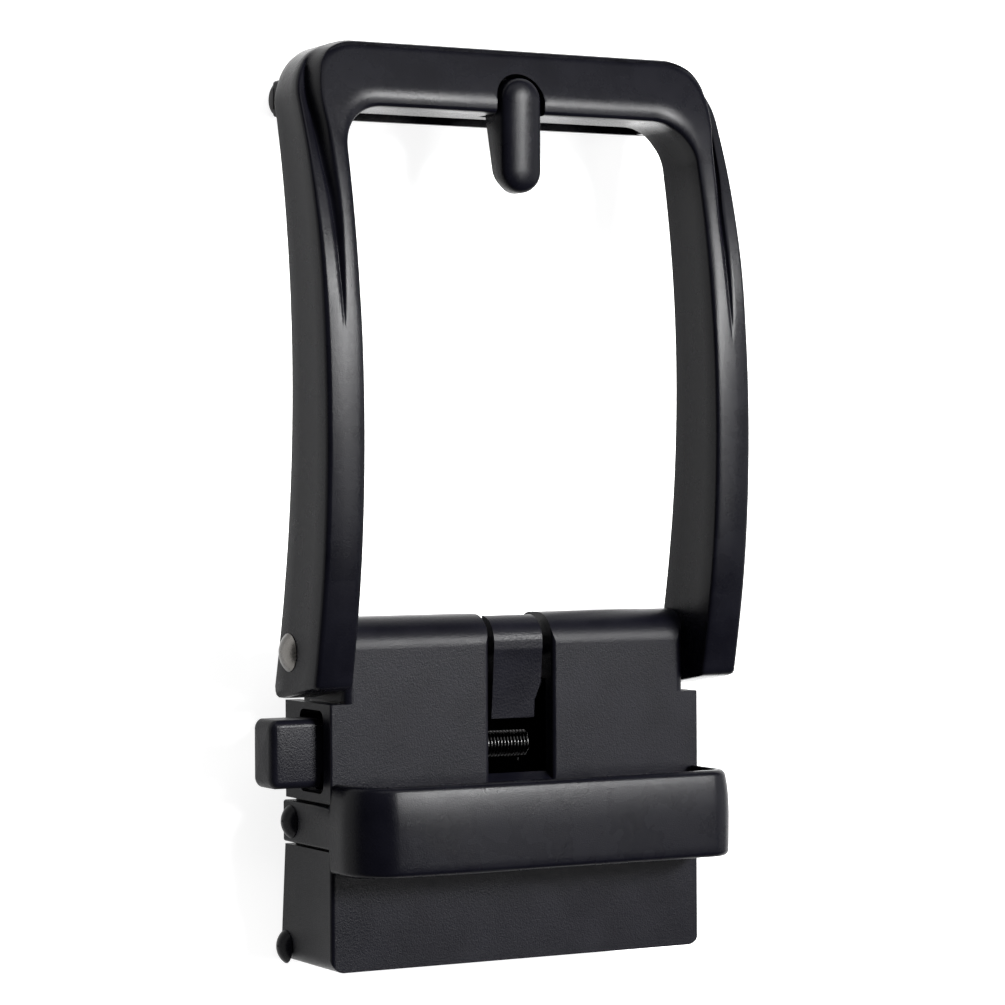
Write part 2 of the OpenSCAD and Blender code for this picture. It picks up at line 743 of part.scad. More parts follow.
// A ring of the wire's points round point i of a line, square to the line there
function wire_ring(line, i, r, sides) =
    let (a = line[max(i - 1, 0)],
         b = line[min(i + 1, len(line) - 1)],
         t = (b - a) / norm(b - a),
         u = cross(t, abs(t.x) < 0.9 ? [1, 0, 0] : [0, 1, 0]),
         n = u / norm(u),
         m = cross(t, n))
    [for (k = [0:sides - 1]) line[i] + r * (cos(360 * k / sides) * n + sin(360 * k / sides) * m)];

// A closed tube of radius r along a line
module wire(line, r, sides) {
    points = [for (i = [0:len(line) - 1]) each wire_ring(line, i, r, sides)];
    last = len(line) - 1;
    faces = concat(
        [[for (k = [0:sides - 1]) k]],
        [for (i = [0:last - 1]) for (k = [0:sides - 1])
            let (n = (k + 1) % sides) [i * sides + k, (i + 1) * sides + k, (i + 1) * sides + n, i * sides + n]],
        [[for (k = [sides - 1:-1:0]) last * sides + k]]);
    polyhedron(points, faces);
}

module return_spring() {
    color(steel) translate([0, hinge_y - coil_y, hinge_z - coil_z]) wire(coil_line, wire_r, 6);
}

// A pin along X with a domed head at each end
module headed_pin(r, head_r, head_h, half) {
    x_rod(r, 2 * half + 2 * eps);
    for (side = [0, 1])
        mirror([side, 0, 0]) translate([half, 0, 0]) dome_head(head_r, head_h);
}

module hinge_pin() {
    color(steel) translate([0, hinge_y, hinge_z])
        headed_pin(pin_r, pin_head_r, pin_head_h, frame_out + seat_gap);
}

module clamp_pin() {
    color(black) translate([0, pin_mid_y, clamp_pin_z])
        headed_pin(clamp_pin_r, rivet_head_r, rivet_head_h, housing_half + seat_gap);
}

module strap_clamp() {
    jaw_mid = pin_mid_y + jaw_y;
    tooth = jaw_l / jaw_teeth;
    root_z = jaw_tip_z - tooth_h;
    low = jaw_mid - jaw_l / 2;
    teeth = [for (i = [0:jaw_teeth - 1])
        each [[low + tooth * (i + tooth_slant), jaw_tip_z], [low + tooth * (i + 1), root_z]]];
    color(black) difference() {
        union() {
            box([-clamp_half, pin_mid_y, 0], [clamp_half, pin_mid_y + clamp_l, clamp_t]);
            translate([0, pin_mid_y, clamp_pin_z]) x_rod(clamp_roll_r, 2 * clamp_half);
            rotate([90, 0, 90]) translate([0, 0, -clamp_half]) linear_extrude(2 * clamp_half)
                polygon(concat([[low, eps], [low, root_z]], teeth, [[low + jaw_l, eps]]));
        }
        translate([0, pin_mid_y, clamp_pin_z]) x_rod(clamp_pin_r + seat_gap / 2, far);
    }
}

// A keeper rivet, drawn for the right side
module keeper_rivet() {
    color(black) translate([0, keeper_mid_y, rivet_z]) {
        translate([keeper_out + seat_gap, 0, 0]) dome_head(rivet_head_r, rivet_head_h);
        translate([web_in, 0, 0]) rotate([0, 90, 0])
            cylinder(r = rivet_r, h = keeper_out + seat_gap - web_in + eps);
    }
}

module keeper_rivet_right() {
    keeper_rivet();
}

module keeper_rivet_left() {
    mirror([1, 0, 0]) keeper_rivet();
}

frame();
prong();
housing();
keeper();
release_lever();
return_spring();
hinge_pin();
clamp_pin();
strap_clamp();
keeper_rivet_left();
keeper_rivet_right();
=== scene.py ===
import math

import bmesh
import bpy
from mathutils import Matrix, Vector


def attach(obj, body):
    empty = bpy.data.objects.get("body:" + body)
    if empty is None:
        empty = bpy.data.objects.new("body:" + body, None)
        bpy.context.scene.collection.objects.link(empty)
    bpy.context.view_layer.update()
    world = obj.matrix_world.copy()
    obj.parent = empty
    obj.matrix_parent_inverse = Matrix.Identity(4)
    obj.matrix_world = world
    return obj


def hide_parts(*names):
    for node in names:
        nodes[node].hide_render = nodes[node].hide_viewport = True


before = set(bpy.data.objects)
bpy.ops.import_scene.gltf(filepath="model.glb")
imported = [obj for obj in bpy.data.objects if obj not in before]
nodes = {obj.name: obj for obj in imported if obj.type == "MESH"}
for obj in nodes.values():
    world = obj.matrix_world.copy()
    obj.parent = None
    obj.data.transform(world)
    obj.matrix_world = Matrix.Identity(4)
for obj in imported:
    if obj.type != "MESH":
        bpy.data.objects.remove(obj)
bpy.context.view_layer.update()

# Sizes are in mm unless a comment says otherwise: X right, Y towards the crossbar, Z out of the face.
MM = 0.001
QUARTER = math.pi / 2


# Materials

# The coat's index is set below real paint's, for a deep black. Faces towards the foot get a higher one, a
# painted reflection that makes them brighter:
# in full where the Y part of their normal is below UNDERSIDE_FULL, and not at all above UNDERSIDE_NONE.
COAT_INDEX, UNDERSIDE_INDEX = 1.145, 1.6
UNDERSIDE_FULL, UNDERSIDE_NONE = -0.96, -0.8

# Noise scales per metre and bump depths in metres.
COAT_BLOTCHES, COAT_PEEL, COAT_PEBBLES = 300, 8000, 5200
PEEL_DEPTH, PEBBLE_DEPTH = 0.00006, 0.00004
STEEL_BLOTCHES, STEEL_SCRATCHES = 400, 5000
SCRATCH_STRENGTH, SCRATCH_DEPTH = 0.15, 0.00001

# Each tone runs from a dark to a light colour.
DEEP_BLACK = ((0.0012, 0.0012, 0.0022), (0.002, 0.002, 0.0034))
FACE_BLACK = ((0.0014, 0.0014, 0.0026), (0.0024, 0.0024, 0.004))
SKIN_BLACK = ((0.0018, 0.0018, 0.003), (0.0028, 0.0028, 0.0046))
PIN_GREY = ((0.07, 0.067, 0.063), (0.105, 0.1, 0.094))
WIRE_GREY = ((0.01, 0.01, 0.01), (0.017, 0.017, 0.017))
PAPER = ((0.36, 0.36, 0.36), (0.39, 0.39, 0.39))


def new_material(name):
    mat = bpy.data.materials.new(name)
    mat.use_nodes = True
    tree = mat.node_tree
    tree.nodes.clear()
    out = tree.nodes.new("ShaderNodeOutputMaterial")
    bsdf = tree.nodes.new("ShaderNodeBsdfPrincipled")
    tree.links.new(bsdf.outputs[0], out.inputs["Surface"])
    return mat, tree, bsdf


def noise(tree, scale, detail, rough=0.5):
    coords = tree.nodes.new("ShaderNodeTexCoord")
    tex = tree.nodes.new("ShaderNodeTexNoise")
    tex.inputs["Scale"].default_value = scale
    tex.inputs["Detail"].default_value = detail
    tex.inputs["Roughness"].default_value = rough
    tree.links.new(coords.outputs["Object"], tex.inputs["Vector"])
    return tex.outputs["Fac"]


def pebbles(tree, scale):
    coords = tree.nodes.new("ShaderNodeTexCoord")
    cells = tree.nodes.new("ShaderNodeTexVoronoi")
    cells.inputs["Scale"].default_value = scale
    tree.links.new(coords.outputs["Object"], cells.inputs["Vector"])
    return cells.outputs["Distance"]


def ramp(tree, source, low, high, start=0.35, end=0.65):
    """A value that goes from low to high while the source goes from start to end."""
    node = tree.nodes.new("ShaderNodeMapRange")
    node.inputs["From Min"].default_value = start
    node.inputs["From Max"].default_value = end
    node.inputs["To Min"].default_value = low
    node.inputs["To Max"].default_value = high
    tree.links.new(source, node.inputs["Value"])
    return node.outputs["Result"]


def tint(tree, source, tones, start=0.3, end=0.7):
    """A colour between two tones."""
    node = tree.nodes.new("ShaderNodeValToRGB")
    for stop, position, tone in zip(node.color_ramp.elements, (start, end), tones):
        stop.position = position
        stop.color = (*tone, 1)
    tree.links.new(source, node.inputs["Fac"])
    return node.outputs["Color"]


def bump(tree, bsdf, layers):
    """Bumps on top of each other, from rows of (height, strength, depth in metres)."""
    normal = None
    for source, strength, depth in layers:
        node = tree.nodes.new("ShaderNodeBump")
        node.inputs["Strength"].default_value = strength
        node.inputs["Distance"].default_value = depth
        tree.links.new(source, node.inputs["Height"])
        if normal is not None:
            tree.links.new(normal, node.inputs["Normal"])
        normal = node.outputs["Normal"]
    tree.links.new(normal, bsdf.inputs["Normal"])


def painted_underside_reflection(tree, bsdf):
    """Painted reflection: a higher index on faces towards the foot, so that they mirror the backdrop more
    brightly at a grazing angle.
    """
    coords = tree.nodes.new("ShaderNodeTexCoord")
    axes = tree.nodes.new("ShaderNodeSeparateXYZ")
    tree.links.new(coords.outputs["Normal"], axes.inputs[0])
    index = ramp(tree, axes.outputs["Y"], UNDERSIDE_INDEX, COAT_INDEX, UNDERSIDE_FULL, UNDERSIDE_NONE)
    tree.links.new(index, bsdf.inputs["IOR"])


def coated(name, tones, roughness, peel, grain=0.0, underside=False):
    """Black coat on cast metal: uneven gloss, fine peel and, where grain is given, a pebbled skin."""
    mat, tree, bsdf = new_material(name)
    blotches = noise(tree, COAT_BLOTCHES, detail=4)
    tree.links.new(tint(tree, blotches, tones), bsdf.inputs["Base Color"])
    tree.links.new(ramp(tree, blotches, *roughness), bsdf.inputs["Roughness"])
    bsdf.inputs["Metallic"].default_value = 0.0
    bsdf.inputs["IOR"].default_value = COAT_INDEX
    # Painted reflection: faces towards the foot get a higher index and mirror more brightly.
    if underside:
        painted_underside_reflection(tree, bsdf)
    layers = [(noise(tree, COAT_PEEL, detail=2, rough=0.6), peel, PEEL_DEPTH)]
    if grain:
        layers.append((pebbles(tree, COAT_PEBBLES), grain, PEBBLE_DEPTH))
    bump(tree, bsdf, layers)
    return mat


def steel(name, tones, roughness):
    """Bare steel: slightly uneven tone with fine scratches."""
    mat, tree, bsdf = new_material(name)
    blotches = noise(tree, STEEL_BLOTCHES, detail=3)
    scratches = noise(tree, STEEL_SCRATCHES, detail=2, rough=0.6)
    tree.links.new(tint(tree, blotches, tones), bsdf.inputs["Base Color"])
    tree.links.new(ramp(tree, scratches, *roughness), bsdf.inputs["Roughness"])
    bsdf.inputs["Metallic"].default_value = 1.0
    bump(tree, bsdf, [(scratches, SCRATCH_STRENGTH, SCRATCH_DEPTH)])
    return mat


# The frame's coat carries the painted reflection on faces towards the foot.
COAT = coated("coat_frame", DEEP_BLACK, (0.25, 0.29), peel=0.22, underside=True)
COAT_SOFT = coated("coat_soft", DEEP_BLACK, (0.25, 0.29), peel=0.3)
COAT_FACE = coated("coat_housing", FACE_BLACK, (0.3, 0.35), peel=0.4)
COAT_RIVET = coated("coat_rivet", DEEP_BLACK, (0.25, 0.3), peel=0.06)
GRAINED = coated("coat_grained", SKIN_BLACK, (0.3, 0.35), peel=0.16, grain=0.26)
PIN = steel("pin_steel", PIN_GREY, (0.26, 0.34))
WIRE = steel("wire_steel", WIRE_GREY, (0.16, 0.2))


# Making meshes

def new_object(name, points, faces, scale=MM):
    """An object from points, which are in mm unless a scale is given."""
    mesh = bpy.data.meshes.new(name)
    mesh.from_pydata([[c * scale for c in point] for point in points], [], faces)
    obj = bpy.data.objects.new(name, mesh)
    bpy.context.collection.objects.link(obj)
    return obj


def make_piece(name, points, faces, mat, body, slot, replaced=None, angle=40):
    """A piece of the part, shaded smooth where its faces meet at less than the angle."""
    obj = new_object(name, points, faces)
    obj.data.validate()
    obj.data.materials.append(mat)
    shade(obj, angle)
    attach(obj, body)
    if replaced:
        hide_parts(replaced)
    return obj


def shade(obj, angle):
    for poly in obj.data.polygons:
        poly.use_smooth = True
    bm = bmesh.new()
    bm.from_mesh(obj.data)
    for edge in bm.edges:
        edge.smooth = len(edge.link_faces) == 2 and edge.calc_face_angle(0) < math.radians(angle)
    bm.to_mesh(obj.data)
    bm.free()


def soften(obj, width, angle=35):
    """A small bevel on edges sharper than the angle."""
    mod = obj.modifiers.new("soft_edges", "BEVEL")
    mod.width = width * MM
    mod.segments = 3
    mod.limit_method = "ANGLE"
    mod.angle_limit = math.radians(angle)
    mod.harden_normals = True
    mod.use_clamp_overlap = True


def loft(rings):
    """Points and faces of a closed form through rings that all have the same number of points."""
    count = len(rings[0])
    points = [point for ring in rings for point in ring]
    faces = []
    for i in range(len(rings) - 1):
        for k in range(count):
            n = (k + 1) % count
            faces.append((i * count + k, i * count + n, (i + 1) * count + n, (i + 1) * count + k))
    faces.append(tuple(range(count - 1, -1, -1)))
    faces.append(tuple((len(rings) - 1) * count + k for k in range(count)))
    return points, faces


def clamp(x):
    return min(1.0, max(0.0, x))


def blend(low, high, x):
    """0 below low, 1 above high and smooth between."""
    t = clamp((x - low) / (high - low))
    return t * t * (3 - 2 * t)


def round_fall(r, d):
    """How far a rounded edge of radius r has fallen at d from its end, 0 from d = r on."""
    if d >= r:
        return 0.0
    return r * (1 - math.sqrt(max(0.0, 1 - ((r - d) / r) ** 2)))


def table(x, rows):
    """A smooth curve through rows of (x, value) that never overshoots them."""
    if x <= rows[0][0]:
        return rows[0][1]
    if x >= rows[-1][0]:
        return rows[-1][1]
    slopes = [(v1 - v0) / (x1 - x0) for (x0, v0), (x1, v1) in zip(rows, rows[1:])]

    def tangent(k):
        if k == 0 or k == len(slopes) or slopes[k - 1] * slopes[k] <= 0:
            return 0.0
        return 2 * slopes[k - 1] * slopes[k] / (slopes[k - 1] + slopes[k])

    i = max(k for k in range(len(slopes)) if rows[k][0] <= x)
    (x0, v0), (x1, v1) = rows[i], rows[i + 1]
    span = x1 - x0
    t = (x - x0) / span
    ends = v0 * (1 + 2 * t) * (1 - t) ** 2 + v1 * t * t * (3 - 2 * t)
    return ends + span * t * (1 - t) * (tangent(i) * (1 - t) - tangent(i + 1) * t)


def capsule(high, low, half, z, turns=24):
    """Outline of a slot shape that runs along Y."""
    top, bottom = high - half, low + half
    ring = []
    for centre, start in ((top, 0), (bottom, math.pi)):
        for k in range(turns + 1):
            a = start + math.pi * k / turns
            ring.append((half * math.cos(a), centre + half * math.sin(a), z))
    return ring


def cut(obj, points, faces):
    """Takes a closed form out of obj for good."""
    tool = new_object("cutter", points, faces)
    mod = obj.modifiers.new("cut", "BOOLEAN")
    mod.operation = "DIFFERENCE"
    mod.solver = "EXACT"
    mod.object = tool
    bpy.context.view_layer.update()
    evaluated = obj.evaluated_get(bpy.context.evaluated_depsgraph_get())
    result = bpy.data.meshes.new_from_object(evaluated)
    obj.modifiers.clear()
    obj.data = result
    bpy.data.objects.remove(tool)


# Frame and prong: driving sizes

HINGE_Y, HINGE_Z = 12.65, 8.3
FACE_Z = 11.2
FRAME_IN, FRAME_OUT = 17.95, 21.65
BAR_LOW, BAR_TOP = 60.85, 66.85
CORNER_IN, CORNER_OUT = 4.0, 5.5
BAR_BACK = 6.5
FLAT_BACK_X = 16.8        # the crossbar's back is flat between the arms up to here

PRONG_TOP, PRONG_LOW, PRONG_HALF, PRONG_FRONT = 64.15, 53.75, 2.05, 12.8
NOTCH_GAP, NOTCH_FLOOR = 0.42, 8.54

# Each arc is (Y of its centre, Z of its centre, radius).
FRONT_ARC = (32.55, -84.05, 100.7)
BACK_ARC = (36.9, -83.15, 92.4)

# The arm's end: its length below the hinge, the lean of its end face and how far up the lean fades out,
# the radii towards the back and at its other edges, and the number of sections that this reaches.
TAIL = 3.9
TAIL_TILT, TAIL_FADE = math.radians(8.4), 14
TAIL_R, TAIL_EDGE_R = 1.8, 0.4
TAIL_RINGS = 40

# The section's own sizes. Those with BAR say what is added from the arm to the crossbar.
INNER_R = 0.25
OUTER_R, OUTER_R_BAR = 0.5, -0.25
SOFT_W, SOFT_W_BAR = 0.9, 1.1
SOFT_DEPTH, SOFT_DEPTH_BAR = 0.1, 0.5
FULL_CROWN, RAIL_CROWN = 0.1, 0.15
GROOVE_RETURN = 0.28
STRIP_LEAN = 0.022
BACK_OUTER_R, BACK_OUTER_R_CORNER = 0.15, 0.7
BACK_INNER_R = 0.2
GROOVE_MARGIN = 0.02      # how far the groove's slope runs past its ends, and the least step beside it

# A place along the frame is the outer edge's Y. From the corner's start it goes on by CORNER_PLACES
# over the corner's quarter turn, and all of the crossbar is at BAR_PLACE. The section turns from the
# arm's into the crossbar's between BAR_START and BAR_FULL. The back's outer edge is roundest between
# BACK_CORNER_FULL and BACK_CORNER_END. The arm's one wide crown gives way to a crown on the rail alone
# between GROOVE_START and GROOVE_FULL.
CORNER_PLACES = 10
BAR_START, BAR_FULL, BAR_PLACE = 61.25, 69, 71.25
BACK_CORNER_FULL, BACK_CORNER_END = 64, 67
GROOVE_START, GROOVE_FULL = 41.5, 46

# Rows of (place, value). RAIL_EDGE is where the raised inner rail ends and GROOVE where the groove is
# deepest, both as shares of the width.
RAIL_EDGE = [
    (-20, 0.46), (41.1, 0.46), (47.4, 0.41), (53.7, 0.37), (57.3, 0.4),
    (60.9, 0.45), (64.6, 0.7), (66.8, 0.88), (68.5, 0.95), (71, 0.97),
]
GROOVE = [
    (-20, 0.5), (41.1, 0.5), (47.4, 0.52), (53.7, 0.56), (57.3, 0.66),
    (60.9, 0.72), (64.6, 0.87), (66.8, 0.98), (68.5, 1), (71, 1),
]
SHOULDER_DEPTH = [
    (-20, 0), (41.1, 0), (47.4, 0.08), (53.7, 0.45), (57.3, 0.8),
    (60.9, 1.3), (64.6, 1.75), (66.8, 2), (68.5, 1.6), (71.25, 0.25),
]
GROOVE_EXTRA_DEPTH = [
    (-20, 0), (41.1, 0), (44, 0.16), (47.4, 0.27), (53.7, 0.34),
    (60.9, 0.4), (64.6, 0.3), (66.8, 0.1), (68.5, 0), (71, 0),
]


def arc_z(arc, y):
    return arc[1] + math.sqrt(arc[2] ** 2 - (y - arc[0]) ** 2)


# Frame: the casting

def front_drop(d, width, place):
    """Depth of the frame's front below its arch, at d from the inner edge."""
    bar = blend(BAR_START, BAR_FULL, place)
    drop = round_fall(INNER_R, d)
    soft_w = SOFT_W + SOFT_W_BAR * bar
    if d < soft_w:
        drop += (SOFT_DEPTH + SOFT_DEPTH_BAR * bar) * (1 - d / soft_w) ** 3
    drop += round_fall(OUTER_R + OUTER_R_BAR * bar, width - d)

    edge = table(place, RAIL_EDGE) * width
    groove = table(place, GROOVE) * width
    grooved = blend(GROOVE_START, GROOVE_FULL, place)
    full_crown = FULL_CROWN * (2 * d / width - 1) ** 2
    rail_crown = RAIL_CROWN * (1 - min(d, edge) / edge) ** 2
    drop += (1 - bar) * ((1 - grooved) * full_crown + grooved * rail_crown)

    shoulder = table(place, SHOULDER_DEPTH)
    extra = table(place, GROOVE_EXTRA_DEPTH)
    if edge < d < groove:
        drop += (shoulder + extra) * blend(edge - GROOVE_MARGIN, groove + GROOVE_MARGIN, d)
    elif d > edge:
        drop += shoulder + extra * (1 - blend(groove, groove + GROOVE_RETURN, d))
        drop += STRIP_LEAN * max(0.0, d - groove - GROOVE_RETURN)
    return drop


def section_stations(width, place):
    """Distances from the inner edge at which a section has its points, closer where it turns."""
    edge = table(place, RAIL_EDGE) * width
    groove = table(place, GROOVE) * width
    inner_zone = 0.4
    returned = min(groove + GROOVE_RETURN, width - OUTER_R - GROOVE_MARGIN)
    spans = [(0.0, inner_zone, 7), (inner_zone, edge, 7), (edge, groove, 8), (groove, returned, 4),
             (returned, width - OUTER_R, 3)]
    stations = []
    for low, high, count in spans:
        stations += [low + (high - low) * k / count for k in range(count)]
    stations += [width - OUTER_R * math.cos(QUARTER * k / 8) for k in range(9)]
    return stations


def frame_section(inner, outer, place):
    """Points of one closed section, as (x, y, z)."""
    dx, dy = outer[0] - inner[0], outer[1] - inner[1]
    width = math.hypot(dx, dy)

    def at(d, z):
        return [inner[0] + dx * d / width, inner[1] + dy * d / width, z]

    def back_z(d):
        x, y = at(d, 0)[:2]
        arch = arc_z(BACK_ARC, y)
        flat = 1 - blend(FLAT_BACK_X, FRAME_IN, abs(x))
        return arch + (max(arch, BAR_BACK) - arch) * flat

    ring = []
    for d in section_stations(width, place):
        ring.append(at(d, arc_z(FRONT_ARC, at(d, 0)[1]) - front_drop(d, width, place)))

    at_corner = blend(BAR_START, BACK_CORNER_FULL, place) * (1 - blend(BACK_CORNER_END, BAR_PLACE, place))
    r = BACK_OUTER_R + BACK_OUTER_R_CORNER * at_corner
    top, low = ring[-1][2], back_z(width)
    for k in range(1, 5):
        ring.append(at(width, top + (low + r - top) * k / 4))
    for k in range(1, 5):
        a = QUARTER * k / 4
        ring.append(at(width - r * (1 - math.cos(a)), low + r - r * math.sin(a)))
    for k in range(1, 6):
        d = width - r - (width - 2 * r) * k / 6
        ring.append(at(d, back_z(d)))

    r = BACK_INNER_R
    top, low = ring[0][2], back_z(0)
    for k in range(5):
        a = QUARTER * (1 - k / 4)
        ring.append(at(r * (1 - math.cos(a)), low + r - r * math.sin(a)))
    for k in range(1, 4):
        ring.append(at(0, low + r + (top - low - r) * k / 4))
    return ring


def shape_tail(rings, start):
    """Rounds the arm's end and lets its end face lean."""
    middle = (FRAME_IN + FRAME_OUT) / 2
    front_above = 3      # points this far above the hinge belong to the front
    for ring in rings:
        s_end = ring[0][1] - start
        tilt = math.tan(TAIL_TILT) * (1 - blend(0, TAIL_FADE, s_end))
        for point in ring:
            if s_end < TAIL_R:
                lift = TAIL_R - math.sqrt(TAIL_R ** 2 - (TAIL_R - s_end) ** 2)
                point[2] = max(point[2], arc_z(BACK_ARC, point[1]) + lift)
            if s_end < TAIL_EDGE_R:
                inset = TAIL_EDGE_R - math.sqrt(TAIL_EDGE_R ** 2 - (TAIL_EDGE_R - s_end) ** 2)
                point[0] += math.copysign(min(inset, abs(middle - point[0])), middle - point[0])
                if point[2] > HINGE_Z + front_above:
                    point[2] -= inset
            point[1] += tilt * (point[2] - HINGE_Z)


def frame_rings():
    """Sections from the right arm's end to the middle of the crossbar."""
    start = HINGE_Y - TAIL
    corner_y, arm_top = BAR_TOP - CORNER_OUT, BAR_LOW - CORNER_IN
    end_steps = [0.0, 0.15, 0.4, 0.75, 1.2, 1.8, 2.6, 3.6, 5.0]
    arm_start = start + end_steps[-1]
    arm_count, corner_count, bar_count = 54, 28, 20
    spread_from = 38      # above this the outer edge's points run ahead of the inner edge's

    ys = [start + step for step in end_steps]
    ys += [arm_start + (arm_top - arm_start) * k / arm_count for k in range(1, arm_count + 1)]
    rings = []
    for y in ys:
        y_out = y + (corner_y - arm_top) * blend(spread_from, arm_top, y)
        rings.append(frame_section((FRAME_IN, y), (FRAME_OUT, y_out), y_out))
    for k in range(1, corner_count + 1):
        a = QUARTER * k / corner_count
        inner = (FRAME_IN - CORNER_IN * (1 - math.cos(a)), arm_top + CORNER_IN * math.sin(a))
        outer = (FRAME_OUT - CORNER_OUT * (1 - math.cos(a)), corner_y + CORNER_OUT * math.sin(a))
        rings.append(frame_section(inner, outer, corner_y + CORNER_PLACES * k / corner_count))
    for k in range(1, bar_count + 1):
        t = 1 - k / bar_count
        inner = ((FRAME_IN - CORNER_IN) * t, BAR_LOW)
        outer = ((FRAME_OUT - CORNER_OUT) * t, BAR_TOP)
        rings.append(frame_section(inner, outer, BAR_PLACE))
    shape_tail(rings[:TAIL_RINGS], start)
    return rings


def frame_piece():
    """Arms and crossbar in one casting, with the prong's notch cut through the crossbar's front."""
    right = frame_rings()
    left = [[[-x, y, z] for x, y, z in ring] for ring in right[:-1]]
    obj = make_piece("frame_casting", *loft(right + left[::-1]), COAT, "frame", "coated_frame", "frame")
    below_bar, above_front = 50, 30
    outline = (PRONG_TOP + NOTCH_GAP, below_bar, PRONG_HALF + NOTCH_GAP)
    cut(obj, *loft([capsule(*outline, NOTCH_FLOOR), capsule(*outline, above_front)]))
    sharp, bevel = 62, 0.22
    shade(obj, sharp)
    soften(obj, bevel, sharp)


# Frame: the loop behind the crossbar

LOOP_LEG, LOOP_DROP = 1.75, 4.5
LOOP_R, LOOP_END_R = 1.65, 0.7
LOOP_TOP, LOOP_MIDDLE, LOOP_LEG_TOP = 2.1, 1.2, 7.4


def loop_piece():
    """The rounded bar behind the crossbar and its two legs."""
    half, r, y = FRAME_IN + LOOP_LEG, LOOP_R, BAR_TOP - LOOP_DROP
    profile = [(y + r * math.cos(math.pi * k / 16), r - r * math.sin(math.pi * k / 16)) for k in range(17)]
    profile += [(y - r, LOOP_TOP), (y + r, LOOP_TOP)]
    turns = [QUARTER * k / 5 for k in range(6)]
    rounds = [(LOOP_END_R * (1 - math.sin(a)), LOOP_END_R * (1 - math.cos(a))) for a in turns]
    rings = []
    for x, inset in [(-half + a, b) for a, b in rounds[::-1]] + [(half - a, b) for a, b in rounds]:
        k = 1 - inset / r
        rings.append([(x, y + (py - y) * k, LOOP_MIDDLE + (pz - LOOP_MIDDLE) * k) for py, pz in profile])
    make_piece("frame_rear_bar", *loft(rings), COAT, "frame", "coated_frame")

    for side, side_name in ((-1, "left"), (1, "right")):
        x_in, x_out = side * FRAME_IN, side * half
        rings = [[(x_in, y - r, z), (x_out, y - r, z), (x_out, y + r, z), (x_in, y + r, z)]
                 for z in (LOOP_MIDDLE, LOOP_LEG_TOP)]
        leg = make_piece("frame_loop_leg_" + side_name, *loft(rings), COAT, "frame", "coated_frame")
        soften(leg, 0.3)


# Prong

# Rows of (inset from the outline, depth below the front) for the pillowed front, outside first.
PRONG_PILLOW = [
    (0, 0.95), (0.05, 0.72), (0.16, 0.52), (0.32, 0.37), (0.55, 0.25),
    (0.85, 0.15), (1.2, 0.075), (1.6, 0.02), (1.95, 0),
]


def prong_piece():
    """The prong: a pillowed front with rounded edges and a fin that thins towards the tip."""
    fin_from, fin_to = 60.15, PRONG_LOW + 0.7
    fin_depth, tip_depth = 4.2, 2.15
    back_edge, back_narrow = 0.2, 0.9

    def back(y):
        t = clamp((fin_from - y) / (fin_from - fin_to))
        return PRONG_FRONT - fin_depth + (fin_depth - tip_depth) * t

    edge = [(x, y, back(y)) for x, y, z in capsule(PRONG_TOP, PRONG_LOW, PRONG_HALF, 0)]
    rings = [[(x * back_narrow, y, z) for x, y, z in edge], [(x, y, z + back_edge) for x, y, z in edge]]
    for inset, depth in PRONG_PILLOW:
        rings.append(capsule(PRONG_TOP - inset, PRONG_LOW + inset, PRONG_HALF - inset, PRONG_FRONT - depth))
    make_piece("prong_casting", *loft(rings), COAT_SOFT, "frame", "coated_prong", "prong", 50)


# Keeper

KEEPER_Y = -2.85
KEEPER_HALF, KEEPER_THICK = 19.3, 1.25
KEEPER_BAND, KEEPER_TAB = 7.9 / 2, 3.75 / 2
KEEPER_TOP = FACE_Z + 6.8
KEEPER_STEP, KEEPER_FOOT = FACE_Z + 0.3, FACE_Z - 9.3
KEEPER_BEND_RIGHT, KEEPER_BEND_LEFT, KEEPER_TILT_LEFT = 2.7, 4.3, math.radians(5.2)
KEEPER_BOW_FROM, KEEPER_BOW_POWER = 6.0, 2.5
KEEPER_BAND_R, KEEPER_TAB_R = 0.5, 0.25
KEEPER_CROWN_TOP, KEEPER_CROWN_LOW, KEEPER_CROWN_POWER = 0.42, 0.06, 2.2


def keeper_half(bend, tilt):
    """From a tab's foot to the middle of the front: (x, z, outward x, outward z, half width)."""
    near, upper, above_step, below_bend = 0.15, 4, 0.2, 0.8
    tab_heights = (KEEPER_FOOT, KEEPER_FOOT + near, KEEPER_STEP - upper, KEEPER_STEP - near)
    band_heights = (KEEPER_STEP, KEEPER_STEP + above_step, KEEPER_TOP - bend - below_bend)
    path = [(KEEPER_HALF, z, 1.0, 0.0, KEEPER_TAB) for z in tab_heights]
    path += [(KEEPER_HALF, z, 1.0, 0.0, KEEPER_BAND) for z in band_heights]
    join = KEEPER_HALF - bend * (1 - math.sin(tilt))
    reach = join - KEEPER_BOW_FROM
    bow = reach * math.tan(tilt) / KEEPER_BOW_POWER
    centre_x = KEEPER_HALF - bend
    centre_z = KEEPER_TOP - bow - bend * math.cos(tilt)
    for k in range(17):
        a = (QUARTER - tilt) * k / 16
        nx, nz = math.cos(a), math.sin(a)
        path.append((centre_x + bend * nx, centre_z + bend * nz, nx, nz, KEEPER_BAND))
    for k in range(1, 25):
        x = join * (1 - k / 24)
        part = max(0.0, x - KEEPER_BOW_FROM) / reach
        lean = math.atan(KEEPER_BOW_POWER * bow / reach * part ** (KEEPER_BOW_POWER - 1))
        z = KEEPER_TOP - bow * part ** KEEPER_BOW_POWER
        path.append((x, z, math.sin(lean), math.cos(lean), KEEPER_BAND))
    return path


